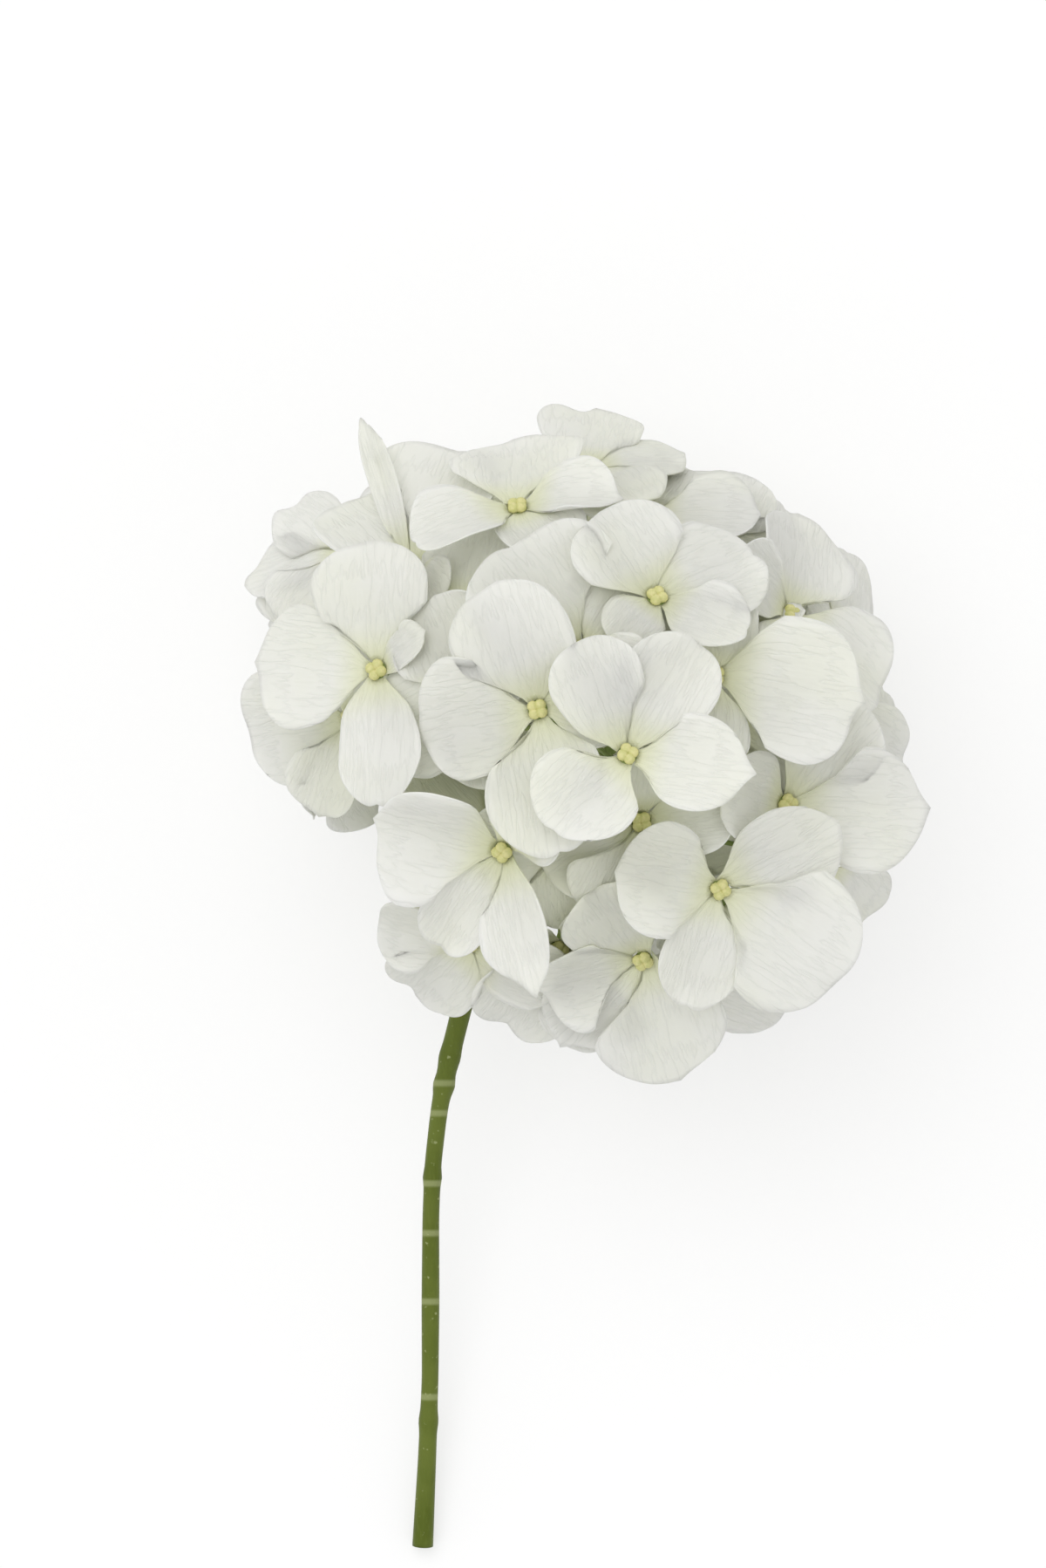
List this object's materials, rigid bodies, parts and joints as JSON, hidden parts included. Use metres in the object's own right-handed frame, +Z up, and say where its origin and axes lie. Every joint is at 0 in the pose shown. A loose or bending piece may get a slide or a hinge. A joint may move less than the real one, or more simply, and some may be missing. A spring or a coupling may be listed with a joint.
{
  "type": "cut flower",
  "caption": "Cut mophead hydrangea lying on its side: a bare stem that forks into rays and carries a ball of four-petalled florets, each on its own stalk.",
  "frame": {"origin": "centre of the bounding box in X and Y, at the level of the surface the flower lies on", "axes": "+Z up from the surface, +Y from the cut end of the stem to the flower head, +X to the right seen from above with the head at the top"},
  "size_m": [0.1556, 0.2652, 0.133],
  "materials": {
    "stem": "satin",
    "rays": "satin",
    "petals": "matte"
  },
  "bodies": {
    "root": {"stem": "stem", "ray_1": "rays", "ray_2": "rays", "ray_3": "rays", "ray_4": "rays", "ray_5": "rays", "ray_6": "rays", "ray_7": "rays", "floret_01": "petals", "floret_02": "petals", "floret_03": "petals", "floret_04": "petals", "floret_05": "petals", "floret_06": "petals", "floret_07": "petals", "floret_08": "petals", "floret_09": "petals", "floret_10": "petals", "floret_11": "petals", "floret_12": "petals", "floret_13": "petals", "floret_14": "petals", "floret_15": "petals", "floret_16": "petals", "floret_17": "petals", "floret_18": "petals", "floret_19": "petals", "floret_20": "petals", "floret_21": "petals", "floret_22": "petals", "floret_23": "petals", "floret_24": "petals", "floret_25": "petals", "floret_26": "petals", "floret_27": "petals", "floret_28": "petals", "floret_29": "petals", "floret_30": "petals", "floret_31": "petals", "floret_32": "petals", "floret_33": "petals", "floret_34": "petals", "floret_35": "petals", "floret_36": "petals", "floret_37": "petals", "floret_38": "petals", "floret_39": "petals", "floret_40": "petals", "floret_41": "petals", "floret_42": "petals", "floret_43": "petals", "floret_44": "petals", "floret_45": "petals", "floret_46": "petals", "floret_47": "petals", "floret_48": "petals", "floret_49": "petals", "floret_50": "petals", "floret_51": "petals", "floret_52": "petals"}
  },
  "joints": []
}
